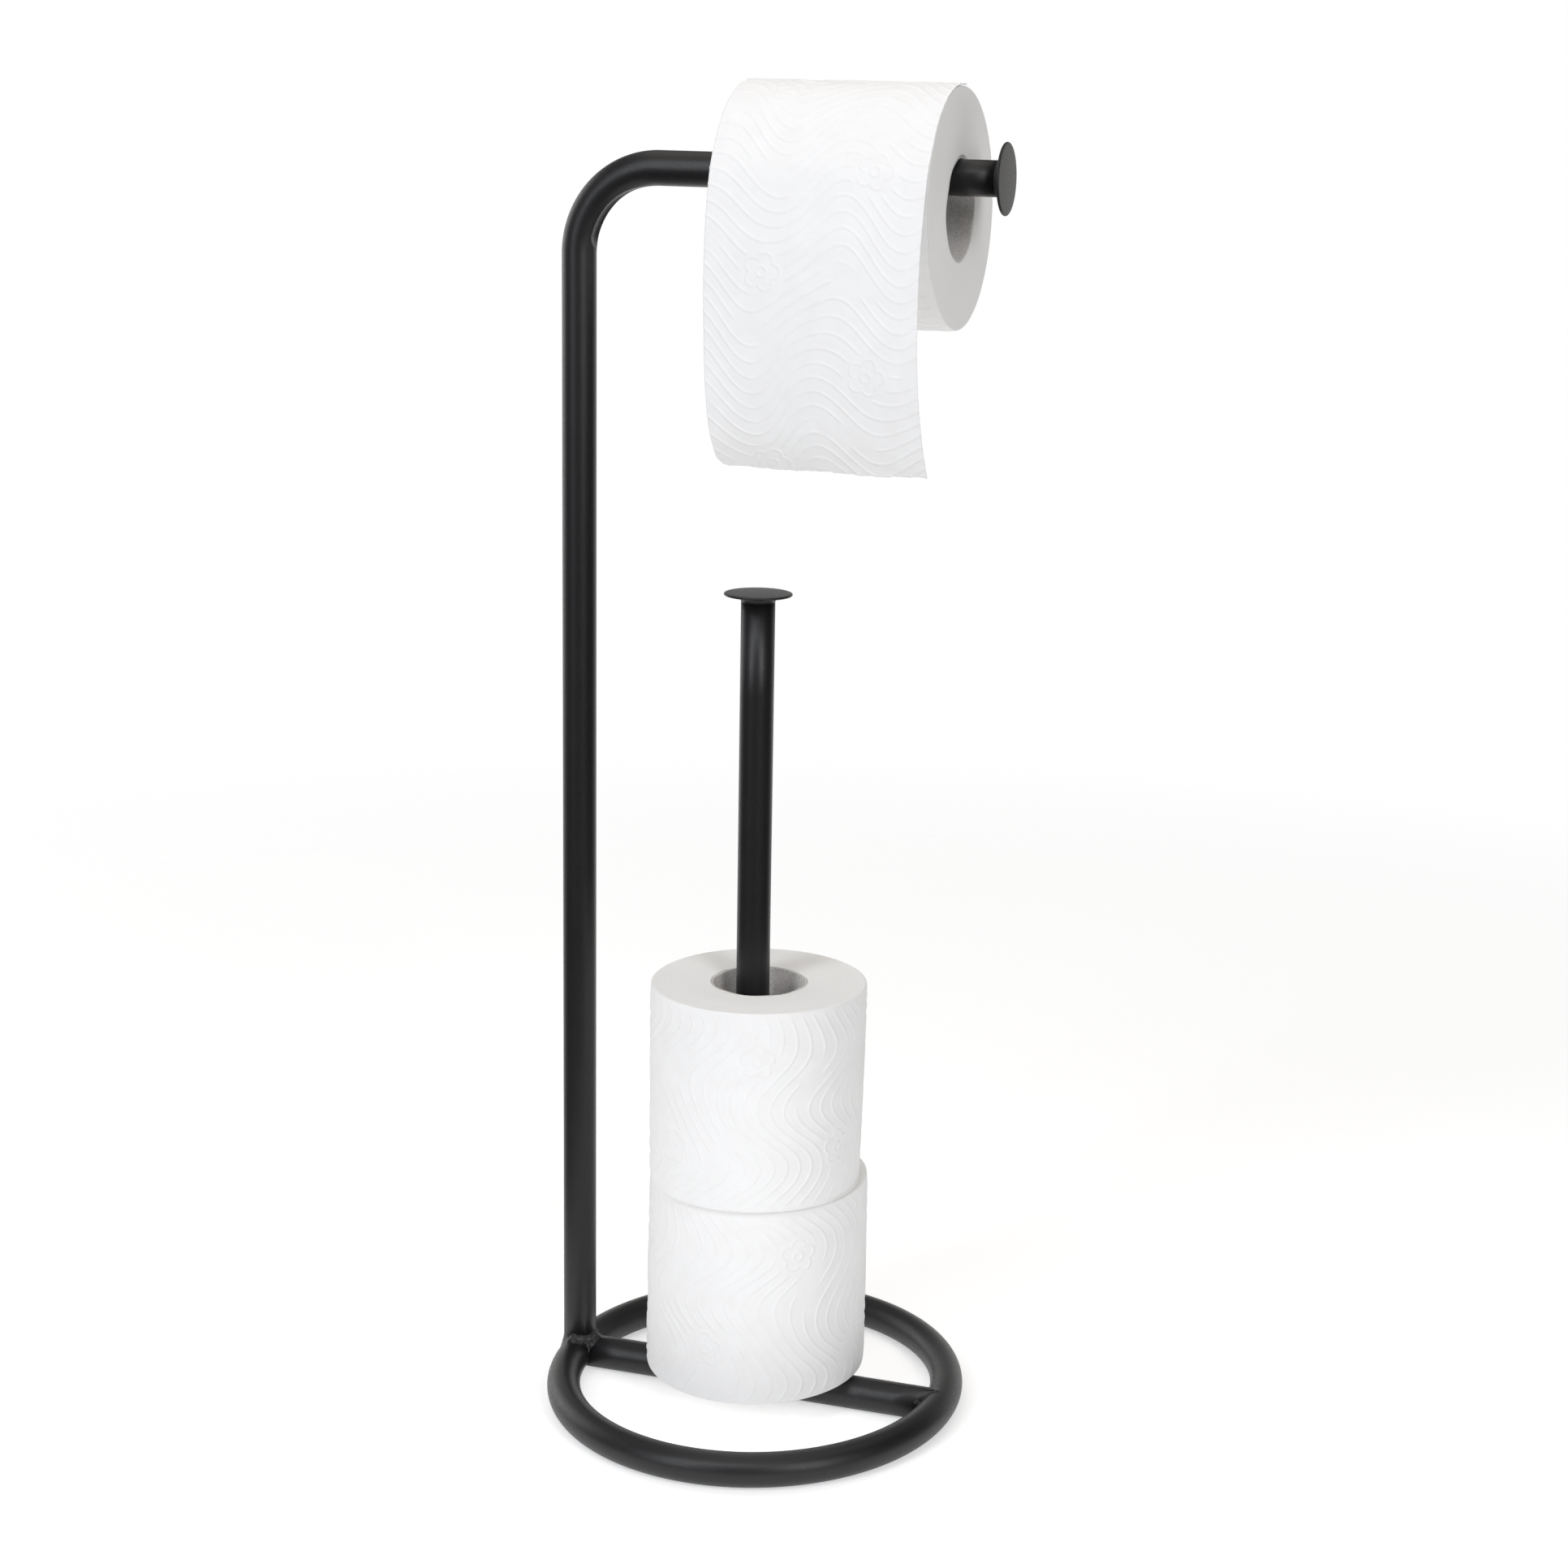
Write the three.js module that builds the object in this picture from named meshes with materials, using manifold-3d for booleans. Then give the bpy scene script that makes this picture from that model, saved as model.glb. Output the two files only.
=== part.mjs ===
// Free-standing toilet paper holder, in millimetres, +Z up.
// A base ring of steel tube carries a cross bar. A tall tube rises from the ring and bends over into a
// level arm for the roll in use, and a shorter post on the cross bar keeps two spare rolls.
// The origin is the centre of the base ring, on the floor. The arm points along +X, and the sheet of
// paper hangs on the -Y side.
import * as THREE from "three";
import { mergeVertices } from "three/addons/utils/BufferGeometryUtils.js";
import Module from "manifold-3d";

const wasm = await Module();
wasm.setup();

// Clearance left between solids that touch on the real object.
const GAP = 0.3;

// Steel frame: one size of round tube throughout.
const TUBE_RADIUS = 8;
const TUBE_WALL = 1.2;
const TUBE_SIDES = 16;
const BORE_SIDES = 12;
const RING_RADIUS = 94.5; // centre-line of the base ring
const RING_SPANS = 48;
const UPRIGHT_X = -RING_RADIUS; // the upright stands on the ring itself
const POST_X = -4.5;
const POST_TOP_Z = 402; // upper face of the post's end disc
const ARM_Z = 593.5; // centre-line of the arm
const ARM_END_X = 109; // outer face of the arm's end disc
const BEND_RADIUS = 40; // centre-line of the bend between upright and arm
const BEND_SPANS = 8;
const FOOT_START_Z = TUBE_RADIUS + 1; // a coped tube starts here, inside the tube that it stands on
const FOOT_TOP_Z = 24; // above every weld
const SEAM_COVER = 3; // half the length of the straight keep-out over the ring's seam

// End discs and the welds that hold the frame together.
const DISC_RADIUS = 16;
const DISC_THICKNESS = 2.5;
const DISC_EDGE = 0.8;
const DISC_SEGMENTS = 32;
const DISC_WELD_WIDTH = 4;
const DISC_WELD_SAG = 0.36; // 0.5 would make the fillet's face straight
const WELD_RADIUS = 2.4;
const WELD_SIDES = 8;
const WELD_SPANS = 14;
const WELD_LAP = 0.08; // radians by which the two halves of a closed bead overlap
const WELD_CREST = Math.PI / 4; // where the side beads run into the bead round the upright
const WELD_SOFTNESS = 0.2; // rounds the valley where two tubes of the same size cross
const BAR_WELD_LOW = -Math.PI * 0.22; // how far down the side of the bar its end weld reaches

// Rolls: a cardboard core inside a winding of tissue.
const ROLL_WIDTH = 98.5;
const CORE_BORE_RADIUS = 22;
const CORE_WALL = 1.2;
const ROLL_EDGE = 1.5;
const ROLL_SEGMENTS = 48;
const HANGING_ROLL_RADIUS = 53.5;
const HANGING_ROLL_X = -10.3; // left face
const UPPER_SPARE = { radius: 51.8, x: -1.2, y: 0 };
const LOWER_SPARE = { radius: 52.8, x: -2.5, y: 5 };

// The sheet that hangs from the roll in use: over its top, down its front and curled back at the foot.
const SHEET_THICKNESS = 0.6;
const SHEET_BACK_ANGLE = Math.PI * 0.52; // where it leaves the winding behind the top
const SHEET_FRONT_ANGLE = Math.PI * 0.84; // where it leaves the winding in front
const SHEET_WRAP_SPANS = 8;
const SHEET_FALL_SPANS = 14;
const SHEET_FALL = [
  [-53.3, 15],
  [-58.0, -3],
  [-60.3, -22],
  [-60.8, -42],
  [-60.0, -62],
  [-57.0, -81],
  [-50.5, -99],
  [-40.5, -114.5],
]; // y, and z from the roll's axis

const BLACK_STEEL = { color: 0x232427, roughness: 0.5, metalness: 0.0 };
const TISSUE = { color: 0xf4f3f2, roughness: 0.95, metalness: 0.0 };
const CARDBOARD = { color: 0x9b9792, roughness: 0.9, metalness: 0.0 };

const X_AXIS = new THREE.Vector3(1, 0, 0);
const Y_AXIS = new THREE.Vector3(0, 1, 0);
const Z_AXIS = new THREE.Vector3(0, 0, 1);

// A path that is only ever sampled at its stations, so straight stretches take a single span.
class StationPath extends THREE.Curve {
  constructor(stations) {
    super();
    this.stations = stations;
  }
  get spans() {
    return this.stations.length - 1;
  }
  stationAt(u) {
    return this.stations[Math.round(u * this.spans)];
  }
  getPointAt(u) {
    return this.stationAt(u).point.clone();
  }
  getTangentAt(u) {
    return this.stationAt(u).tangent.clone();
  }
}

function straightPath(points, tangent) {
  return new StationPath(points.map((point) => ({ point, tangent })));
}

// A regular polygon whose flats lie at the given distance from its centre and face the axes.
function polygonPoints(apothem, sides) {
  const radius = apothem / Math.cos(Math.PI / sides);
  return Array.from({ length: sides }, (_, i) => {
    const angle = ((i + 0.5) * 2 * Math.PI) / sides;
    return new THREE.Vector2(radius * Math.cos(angle), radius * Math.sin(angle));
  });
}

function solidSection(apothem, sides = TUBE_SIDES) {
  return new THREE.Shape(polygonPoints(apothem, sides));
}

function tubeSection() {
  const section = solidSection(TUBE_RADIUS);
  section.holes.push(new THREE.Path(polygonPoints(TUBE_RADIUS - TUBE_WALL, BORE_SIDES)));
  return section;
}

function sweep(section, path, steps) {
  return new THREE.ExtrudeGeometry(section, { steps, extrudePath: path });
}

// Joins and cuts are made on plain closed triangle meshes.
function toSolid(geometry) {
  const bare = geometry.clone();
  bare.deleteAttribute("normal");
  bare.deleteAttribute("uv");
  const merged = mergeVertices(bare, 1e-4);
  const mesh = new wasm.Mesh({
    numProp: 3,
    vertProperties: new Float32Array(merged.attributes.position.array),
    triVerts: new Uint32Array(merged.index.array),
  });
  return new wasm.Manifold(mesh);
}

function toGeometry(solid) {
  const mesh = solid.getMesh();
  const geometry = new THREE.BufferGeometry();
  geometry.setAttribute("position", new THREE.BufferAttribute(mesh.vertProperties, 3));
  geometry.setIndex(new THREE.BufferAttribute(mesh.triVerts, 1));
  geometry.computeVertexNormals();
  return geometry;
}

function cut(geometry, ...tools) {
  return toGeometry(tools.reduce((rest, tool) => rest.subtract(tool), toSolid(geometry)));
}

function part(name, geometry, look) {
  const mesh = new THREE.Mesh(geometry, new THREE.MeshStandardMaterial(look));
  mesh.name = name;
  return mesh;
}

// ---- Steel frame -------------------------------------------------------------------------------

// The ring is bent from one length of tube. Its two ends meet under the upright.
function ringPath() {
  const halfSeam = GAP / 2 / RING_RADIUS;
  const start = Math.PI + halfSeam;
  const turn = 2 * (Math.PI - halfSeam);
  const stations = Array.from({ length: RING_SPANS + 1 }, (_, i) => {
    const angle = start + (turn * i) / RING_SPANS;
    const outward = new THREE.Vector3(Math.cos(angle), Math.sin(angle), 0);
    return {
      point: outward.clone().multiplyScalar(RING_RADIUS).setZ(TUBE_RADIUS),
      tangent: new THREE.Vector3(-outward.y, outward.x, 0),
    };
  });
  return new StationPath(stations);
}

function barPath(halfLength) {
  const ends = [-halfLength, halfLength];
  return straightPath(ends.map((x) => new THREE.Vector3(x, 0, TUBE_RADIUS)), X_AXIS);
}

function risingPath(x, heights) {
  return straightPath(heights.map((z) => new THREE.Vector3(x, 0, z)), Z_AXIS);
}

function uprightPath(endX) {
  const bendX = UPRIGHT_X + BEND_RADIUS;
  const bendZ = ARM_Z - BEND_RADIUS;
  const foot = [FOOT_START_Z, FOOT_TOP_Z].map((z) => ({
    point: new THREE.Vector3(UPRIGHT_X, 0, z),
    tangent: Z_AXIS,
  }));
  const bend = Array.from({ length: BEND_SPANS + 1 }, (_, i) => {
    const angle = (Math.PI / 2) * (i / BEND_SPANS);
    return {
      point: new THREE.Vector3(
        bendX - BEND_RADIUS * Math.cos(angle),
        0,
        bendZ + BEND_RADIUS * Math.sin(angle),
      ),
      tangent: new THREE.Vector3(Math.sin(angle), 0, Math.cos(angle)),
    };
  });
  const end = { point: new THREE.Vector3(endX, 0, ARM_Z), tangent: X_AXIS };
  return new StationPath([...foot, ...bend, end]);
}

// The space that a tube fills, grown by the clearance, for cutting its neighbours back.
function keepOut(path) {
  return toSolid(sweep(solidSection(TUBE_RADIUS + GAP), path, path.spans));
}

// The keep-out for the whole ring: the bent tube, and a short straight piece that bridges its seam.
function ringKeepOut() {
  const bridge = straightPath(
    [-SEAM_COVER, SEAM_COVER].map((y) => new THREE.Vector3(UPRIGHT_X, y, TUBE_RADIUS)),
    Y_AXIS,
  );
  return keepOut(ringPath()).add(keepOut(bridge));
}

function tube(path) {
  return sweep(tubeSection(), path, path.spans);
}

// ---- Welds -------------------------------------------------------------------------------------

// A bead of weld along part of the line where two tubes meet.
class WeldPath extends THREE.Curve {
  constructor(pointAt, from, to) {
    super();
    this.pointAt = pointAt;
    this.from = from;
    this.to = to;
  }
  getPoint(t) {
    return this.pointAt(this.from + (this.to - this.from) * t);
  }
}

function bead(pointAt, from, to) {
  const path = new WeldPath(pointAt, from, to);
  return toSolid(sweep(solidSection(WELD_RADIUS, WELD_SIDES), path, WELD_SPANS));
}

// A bead all the way round, as two halves that overlap at their ends.
function loopBead(pointAt) {
  const firstHalf = bead(pointAt, -WELD_LAP, Math.PI + WELD_LAP);
  return firstHalf.add(bead(pointAt, Math.PI - WELD_LAP, 2 * Math.PI + WELD_LAP));
}

const soft = (value) => Math.sqrt(value * value + WELD_SOFTNESS * WELD_SOFTNESS);

// Line round the foot of the upright, over the ring's crest and, on the inner side, over the bar's.
function uprightFootLine(angle) {
  const along = Math.cos(angle);
  const across = Math.sin(angle);
  const ringRise = soft(across);
  const barRise = Math.max(along, 0);
  const rise = (ringRise ** 4 + barRise ** 4) ** 0.25;
  return new THREE.Vector3(
    UPRIGHT_X + TUBE_RADIUS * along,
    TUBE_RADIUS * across,
    TUBE_RADIUS * (1 + rise),
  );
}

function postFootLine(angle) {
  return new THREE.Vector3(
    POST_X + TUBE_RADIUS * Math.cos(angle),
    TUBE_RADIUS * Math.sin(angle),
    TUBE_RADIUS * (1 + soft(Math.cos(angle))),
  );
}

// Line round the end of the cross bar, where it meets the inside of the ring; side is -1 or +1.
function barEndLine(side) {
  return (angle) =>
    new THREE.Vector3(
      side * (RING_RADIUS - TUBE_RADIUS * soft(Math.cos(angle))),
      TUBE_RADIUS * Math.cos(angle),
      TUBE_RADIUS * (1 + Math.sin(angle)),
    );
}

// The deposit at the foot of the upright also runs down both sides of the bar's left end.
function uprightFootWeld(ring, bar, upright) {
  const line = barEndLine(-1);
  const front = bead(line, BAR_WELD_LOW, WELD_CREST);
  const back = bead(line, Math.PI - WELD_CREST, Math.PI - BAR_WELD_LOW);
  const whole = loopBead(uprightFootLine).add(front).add(back);
  return toGeometry(whole.subtract(ring).subtract(bar).subtract(upright));
}

function barEndWeld(ring, bar) {
  const whole = bead(barEndLine(1), BAR_WELD_LOW, Math.PI - BAR_WELD_LOW);
  return toGeometry(whole.subtract(ring).subtract(bar));
}

function postFootWeld(bar, post) {
  return toGeometry(loopBead(postFootLine).subtract(bar).subtract(post));
}

// ---- Turned shapes: drawn as radius against height, from the underside up ------------------------

function turned(profile, segments) {
  const points = profile.map(([radius, height]) => new THREE.Vector2(radius, height));
  return new THREE.LatheGeometry(points, segments).rotateX(Math.PI / 2);
}

function endDisc() {
  return turned(
    [
      [0, -DISC_THICKNESS],
      [DISC_RADIUS - DISC_EDGE, -DISC_THICKNESS],
      [DISC_RADIUS, -DISC_THICKNESS + DISC_EDGE],
      [DISC_RADIUS, -DISC_EDGE],
      [DISC_RADIUS - DISC_EDGE, 0],
      [0, 0],
    ],
    DISC_SEGMENTS,
  );
}

// The fillet of weld between the end of a tube and the back of its disc.
function discWeld() {
  const inner = (TUBE_RADIUS + GAP) / Math.cos(Math.PI / TUBE_SIDES);
  const top = -DISC_THICKNESS - GAP;
  const sag = DISC_WELD_WIDTH * DISC_WELD_SAG;
  return turned(
    [
      [inner, top - DISC_WELD_WIDTH],
      [inner + sag, top - sag],
      [inner + DISC_WELD_WIDTH, top],
      [inner, top],
      [inner, top - DISC_WELD_WIDTH],
    ],
    DISC_SEGMENTS,
  );
}

function core() {
  const outer = CORE_BORE_RADIUS + CORE_WALL;
  return turned(
    [
      [CORE_BORE_RADIUS, 0],
      [outer, 0],
      [outer, ROLL_WIDTH],
      [CORE_BORE_RADIUS, ROLL_WIDTH],
      [CORE_BORE_RADIUS, 0],
    ],
    ROLL_SEGMENTS,
  );
}

function winding(radius) {
  const inner = CORE_BORE_RADIUS + CORE_WALL + GAP;
  return turned(
    [
      [inner, 0],
      [radius - ROLL_EDGE, 0],
      [radius, ROLL_EDGE],
      [radius, ROLL_WIDTH - ROLL_EDGE],
      [radius - ROLL_EDGE, ROLL_WIDTH],
      [inner, ROLL_WIDTH],
      [inner, 0],
    ],
    ROLL_SEGMENTS,
  );
}

// ---- Hanging sheet -----------------------------------------------------------------------------

// Centre-line of the sheet in the Y-Z plane, measured from the roll's axis.
function sheetLine() {
  const wrapRadius = HANGING_ROLL_RADIUS + GAP + SHEET_THICKNESS / 2;
  const wrap = Array.from({ length: SHEET_WRAP_SPANS + 1 }, (_, i) => {
    const share = i / SHEET_WRAP_SPANS;
    const angle = SHEET_BACK_ANGLE + (SHEET_FRONT_ANGLE - SHEET_BACK_ANGLE) * share;
    return new THREE.Vector2(wrapRadius * Math.cos(angle), wrapRadius * Math.sin(angle));
  });
  const knots = [...wrap.slice(-2), ...SHEET_FALL.map(([y, z]) => new THREE.Vector2(y, z))];
  const lastWrapShare = 1 / (knots.length - 1);
  const spline = new THREE.SplineCurve(knots);
  const fall = Array.from({ length: SHEET_FALL_SPANS }, (_, i) => {
    const share = (i + 1) / SHEET_FALL_SPANS;
    return spline.getPoint(lastWrapShare + (1 - lastWrapShare) * share);
  });
  return [...wrap, ...fall];
}

function sheet() {
  const line = sheetLine();
  const half = SHEET_THICKNESS / 2;
  const side = (sign) =>
    line.map((point, i) => {
      const before = line[Math.max(i - 1, 0)];
      const after = line[Math.min(i + 1, line.length - 1)];
      const along = after.clone().sub(before).normalize();
      return new THREE.Vector2(point.x - sign * half * along.y, point.y + sign * half * along.x);
    });
  const outline = new THREE.Shape([...side(1), ...side(-1).reverse()]);
  const geometry = new THREE.ExtrudeGeometry(outline, { depth: ROLL_WIDTH, bevelEnabled: false });
  const toWorld = new THREE.Matrix4().makeBasis(new THREE.Vector3(0, 1, 0), Z_AXIS, X_AXIS);
  return geometry.applyMatrix4(toWorld);
}

// ---- Assembly ----------------------------------------------------------------------------------

function steelFrame() {
  const armEnd = ARM_END_X - DISC_THICKNESS - GAP;
  const postEnd = POST_TOP_Z - DISC_THICKNESS - GAP;
  const bar = barPath(RING_RADIUS);
  const upright = uprightPath(armEnd);
  const post = risingPath(POST_X, [FOOT_START_Z, FOOT_TOP_Z, postEnd]);
  const ringSpace = ringKeepOut();
  const barSpace = keepOut(bar);
  const uprightSpace = keepOut(risingPath(UPRIGHT_X, [0, FOOT_TOP_Z]));
  const postSpace = keepOut(risingPath(POST_X, [0, FOOT_TOP_Z]));

  const armDisc = new THREE.Group();
  armDisc.add(part("arm_end_disc", endDisc(), BLACK_STEEL));
  armDisc.add(part("arm_end_disc_weld", discWeld(), BLACK_STEEL));
  armDisc.position.set(ARM_END_X, 0, ARM_Z);
  armDisc.rotation.y = Math.PI / 2;

  const postDisc = new THREE.Group();
  postDisc.add(part("post_top_disc", endDisc(), BLACK_STEEL));
  postDisc.add(part("post_top_disc_weld", discWeld(), BLACK_STEEL));
  postDisc.position.set(POST_X, 0, POST_TOP_Z);

  const frame = new THREE.Group();
  frame.add(
    part("base_ring", tube(ringPath()), BLACK_STEEL),
    part("cross_bar", cut(tube(bar), ringSpace), BLACK_STEEL),
    part("upright_arm_tube", cut(tube(upright), ringSpace, barSpace), BLACK_STEEL),
    part("storage_post", cut(tube(post), barSpace), BLACK_STEEL),
    part("upright_foot_weld", uprightFootWeld(ringSpace, barSpace, uprightSpace), BLACK_STEEL),
    part("cross_bar_weld", barEndWeld(ringSpace, barSpace), BLACK_STEEL),
    part("post_foot_weld", postFootWeld(barSpace, postSpace), BLACK_STEEL),
    armDisc,
    postDisc,
  );
  return frame;
}

// The roll in use hangs from the arm by the top of its core.
function hangingRoll() {
  const hangingDrop = CORE_BORE_RADIUS - TUBE_RADIUS - GAP;
  const roll = new THREE.Group();
  roll.add(part("hanging_roll_paper", winding(HANGING_ROLL_RADIUS), TISSUE));
  roll.add(part("hanging_roll_core", core(), CARDBOARD));
  roll.rotation.y = Math.PI / 2;
  const assembly = new THREE.Group();
  assembly.add(roll, part("hanging_sheet", sheet(), TISSUE));
  assembly.position.set(HANGING_ROLL_X, 0, ARM_Z - hangingDrop);
  return assembly;
}

function spareRoll(label, { radius, x, y }, bottomZ) {
  const roll = new THREE.Group();
  roll.add(part(label + "_paper", winding(radius), TISSUE));
  roll.add(part(label + "_core", core(), CARDBOARD));
  roll.position.set(x, y, bottomZ);
  return roll;
}

// The lower roll stands on the cross bar, and the upper roll stands on the lower one.
function spareRolls() {
  const lowerZ = 2 * TUBE_RADIUS + 2 * GAP;
  const upperZ = lowerZ + ROLL_WIDTH + GAP;
  const stack = new THREE.Group();
  stack.add(spareRoll("lower_spare", LOWER_SPARE, lowerZ));
  stack.add(spareRoll("upper_spare", UPPER_SPARE, upperZ));
  return stack;
}

const holder = new THREE.Group();
holder.add(steelFrame(), hangingRoll(), spareRolls());
export default holder;
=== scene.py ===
"""Looks of a free-standing toilet paper holder with its rolls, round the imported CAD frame.

Everything is in metres, +Z up, in the frame's own axes: the arm points along +X and the sheet
hangs on the -Y side.
"""

import math

import bpy
import numpy as np
from mathutils import Matrix, Vector


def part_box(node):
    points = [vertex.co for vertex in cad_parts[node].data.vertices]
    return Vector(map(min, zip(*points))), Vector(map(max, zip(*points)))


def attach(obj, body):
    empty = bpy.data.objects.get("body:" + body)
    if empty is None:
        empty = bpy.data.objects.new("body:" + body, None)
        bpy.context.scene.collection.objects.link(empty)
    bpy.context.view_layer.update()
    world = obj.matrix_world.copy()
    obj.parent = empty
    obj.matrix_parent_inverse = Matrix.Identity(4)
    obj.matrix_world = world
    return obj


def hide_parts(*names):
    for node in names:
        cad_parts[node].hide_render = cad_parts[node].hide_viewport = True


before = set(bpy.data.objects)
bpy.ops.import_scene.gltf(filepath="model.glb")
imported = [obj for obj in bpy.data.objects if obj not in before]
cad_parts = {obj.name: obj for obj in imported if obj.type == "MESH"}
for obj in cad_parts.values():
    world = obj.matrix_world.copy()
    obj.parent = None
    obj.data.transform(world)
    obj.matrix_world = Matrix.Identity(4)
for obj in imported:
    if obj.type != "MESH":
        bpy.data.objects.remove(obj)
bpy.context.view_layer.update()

MM = 0.001

# ---- Sizes, most read from the frame ----------------------------------------------------------

ring_low, ring_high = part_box("base_ring")
upright_low, upright_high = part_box("upright_arm_tube")
post_low, post_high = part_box("storage_post")

TUBE = (ring_high.z - ring_low.z) / 2
RING = ring_high.y - TUBE
UPRIGHT_X = upright_low.x + TUBE
ARM_Z = upright_high.z - TUBE
ARM_END_X = upright_high.x
POST_X = (post_low.x + post_high.x) / 2
POST_END_Z = post_high.z
BEND = 40 * MM  # radius of the bend's centre-line

TUBE_SIDES = 64
FULL_TURN = 2 * math.pi
COPE_DEPTH = 0.3 * MM  # how far a coped tube end sits inside its neighbour


# ---- Mesh helpers -----------------------------------------------------------------------------

def enclosed(mesh):
    """Signed volume of a closed mesh, below zero where its faces look inward."""
    mesh.calc_loop_triangles()
    corners = np.empty(3 * len(mesh.loop_triangles), dtype=np.int32)
    mesh.loop_triangles.foreach_get("vertices", corners)
    places = np.empty(3 * len(mesh.vertices))
    mesh.vertices.foreach_get("co", places)
    a, b, c = places.reshape(-1, 3)[corners].reshape(-1, 3, 3).transpose(1, 0, 2)
    return np.sum(a * np.cross(b, c)) / 6


def add_piece(name, points, faces, materials, body, stands_for):
    """Makes one smooth shaded object from points and faces, and ties it to the frame."""
    mesh = bpy.data.meshes.new(name)
    mesh.from_pydata(points, [], faces)
    if enclosed(mesh) < 0:
        mesh.flip_normals()
    mesh.update()
    mesh.shade_smooth()
    obj = bpy.data.objects.new(name, mesh)
    bpy.context.scene.collection.objects.link(obj)
    for material in materials:
        mesh.materials.append(material)
    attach(obj, body)
    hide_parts(stands_for)
    return obj


def add_steel(name, points, faces, stands_for, coat=None):
    add_piece(name, points, faces, [coat or BLACK], "stand", stands_for)


def grid_faces(rows, columns, close_rows=False, close_columns=False):
    """Quads of a grid of points numbered row by row."""
    i = np.arange(rows if close_rows else rows - 1)[:, None]
    j = np.arange(columns if close_columns else columns - 1)[None, :]
    a, b = i * columns, (i + 1) % rows * columns
    k = (j + 1) % columns
    return np.stack([a + j, a + k, b + k, b + j], axis=-1).reshape(-1, 4).tolist()


def capped_loft(sections):
    """A closed solid through equal rings of points, with a fan at each end."""
    sections = np.asarray(sections)
    rows, columns = sections.shape[:2]
    points = sections.reshape(-1, 3).tolist()
    faces = grid_faces(rows, columns, close_columns=True)
    for row, is_last in ((0, False), (rows - 1, True)):
        hub = len(points)
        points.append(sections[row].mean(axis=0).tolist())
        for j in range(columns):
            a, b = row * columns + j, row * columns + (j + 1) % columns
            faces.append((b, hub, a) if is_last else (a, hub, b))
    return points, faces


def lathe(profile, segments, place):
    """A closed solid turned from (radius, height) points, the first and the last on the axis."""
    angles = np.linspace(0, FULL_TURN, segments, endpoint=False)
    sections = [
        [(r * math.cos(a), r * math.sin(a), h) for a in angles] for r, h in profile[1:-1]
    ]
    points, faces = capped_loft(sections)
    points[-2] = (0, 0, profile[0][1])
    points[-1] = (0, 0, profile[-1][1])
    return [place @ Vector(p) for p in points], faces


def surface_net(field, low, high, cell):
    """Closed mesh of the surface where field(x, y, z) is 0, on a grid of cubic cells."""
    axes = [np.arange(a - cell, b + 2 * cell, cell) for a, b in zip(low, high)]
    grid = np.meshgrid(*axes, indexing="ij")
    outside_box = np.max([np.maximum(a - g, g - b) for g, a, b in zip(grid, low, high)], axis=0)
    value = np.maximum(field(*grid), outside_box)
    shape = np.array(value.shape) - 1
    total, count, quads = np.zeros((*shape, 3)), np.zeros(shape), []
    for axis in range(3):
        first = np.take(value, range(shape[axis]), axis)
        second = np.take(value, range(1, shape[axis] + 1), axis)
        edge = np.argwhere((first < 0) != (second < 0))
        a, b = first[tuple(edge.T)], second[tuple(edge.T)]
        place = np.stack([axes[i][edge[:, i]] for i in range(3)], axis=1)
        place[:, axis] += a / (a - b) * cell
        steps = np.eye(3, dtype=int)[[(axis + 1) % 3, (axis + 2) % 3]]
        around = [edge, edge - steps[0], edge - steps[0] - steps[1], edge - steps[1]]
        for where in around:
            np.add.at(total, tuple(where.T), place)
            np.add.at(count, tuple(where.T), 1)
        loops = np.stack(around, axis=1)
        loops[a >= 0] = loops[a >= 0][:, ::-1]
        quads.append(loops)
    used = count > 0
    number = np.full(shape, -1)
    number[used] = np.arange(used.sum())
    points = total[used] / count[used][:, None]
    faces = number[tuple(np.moveaxis(np.concatenate(quads), -1, 0))]
    return points.tolist(), faces.tolist()


def smooth_step(value, start, end):
    """0 before the start, 1 after the end, and a soft rise between them."""
    share = np.clip((value - start) / (end - start), 0, 1)
    return share * share * (3 - 2 * share)


# ---- Camera, at the photograph's viewing angle ---------------------------------------------------

CAMERA_PLACE = (0.40647, -1.13316, 0.60356)
CAMERA_TURN_LEFT = math.radians(15.659)
CAMERA_LOOK_DOWN = math.radians(12.330)
CAMERA_LEAN = math.radians(1.713)
CAMERA_LENS = 60.12
CAMERA_SHIFT = (-0.1044, -0.0367)


def add_camera():
    data = bpy.data.cameras.new("camera")
    camera = bpy.data.objects.new("camera", data)
    bpy.context.scene.collection.objects.link(camera)
    bpy.context.scene.camera = camera
    data.sensor_width = 36
    data.lens = CAMERA_LENS
    data.shift_x, data.shift_y = CAMERA_SHIFT
    data.clip_start = 0.05
    data.clip_end = 100
    camera.location = CAMERA_PLACE
    heading = Matrix.Rotation(CAMERA_TURN_LEFT, 4, "Z")
    tilt = Matrix.Rotation(math.pi / 2 - CAMERA_LOOK_DOWN, 4, "X")
    lean = Matrix.Rotation(CAMERA_LEAN, 4, "Z")
    camera.rotation_euler = (heading @ tilt @ lean).to_euler()


add_camera()


# ---- Materials --------------------------------------------------------------------------------

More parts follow.
